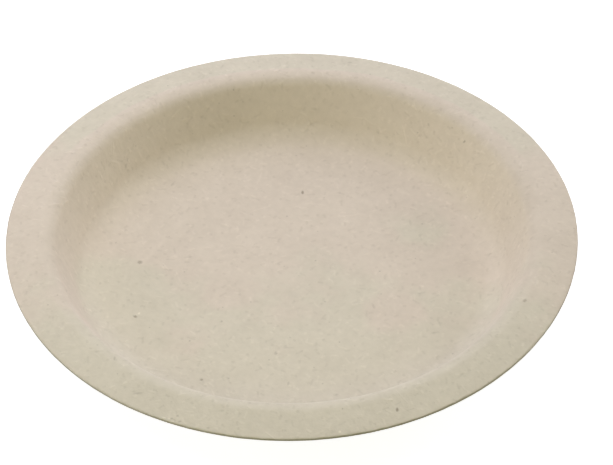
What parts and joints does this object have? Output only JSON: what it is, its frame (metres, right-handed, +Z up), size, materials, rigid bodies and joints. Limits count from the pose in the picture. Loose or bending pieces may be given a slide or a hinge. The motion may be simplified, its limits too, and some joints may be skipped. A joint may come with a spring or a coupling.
{
  "type": "paper plate",
  "caption": "Round plate pressed from unbleached paper pulp: flat floor, steep wall, rolled shoulder and a broad rim that falls slightly outwards.",
  "frame": {"origin": "centre of the flat underside, where the plate rests on the table", "axes": "+Z up, out of the well; the plate is round about Z, and +Y points away from the picture's camera"},
  "size_m": [0.178, 0.178, 0.0188],
  "materials": {
    "pulp": "matte unbleached pulp, faintly mottled, with fibre marks and a few bark specks"
  },
  "bodies": {
    "root": {"plate": "pulp"}
  },
  "joints": []
}
